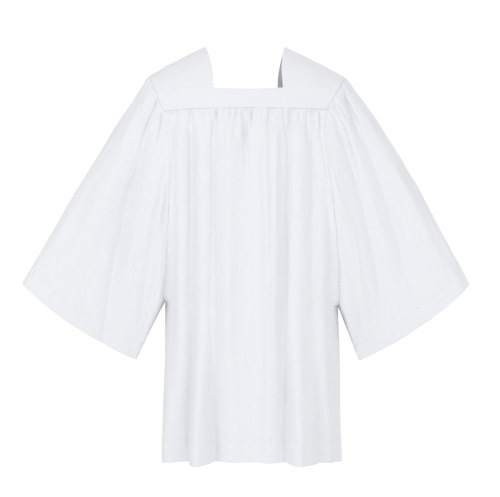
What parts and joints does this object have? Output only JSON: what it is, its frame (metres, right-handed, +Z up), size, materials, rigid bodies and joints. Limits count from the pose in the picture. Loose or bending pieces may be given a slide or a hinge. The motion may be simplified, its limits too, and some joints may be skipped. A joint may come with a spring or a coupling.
{
  "type": "surplice",
  "caption": "Plain white surplice filled out as worn: square-necked yoke, gathered body and wide open sleeves.",
  "frame": {"origin": "midway between the two shoulder points beside the neck, where the wearer's shoulders hold the garment up", "axes": "+Z up, +X to the right as the front is seen, -Y out of the front"},
  "size_m": [0.9288, 0.2912, 0.8628],
  "materials": {
    "white_cloth": "plain white cotton blend, matt, soft pressed"
  },
  "bodies": {
    "root": {"front_yoke": "white_cloth", "back_yoke": "white_cloth", "front_panel": "white_cloth", "back_panel": "white_cloth", "sleeve_left": "white_cloth", "sleeve_right": "white_cloth"}
  },
  "joints": []
}
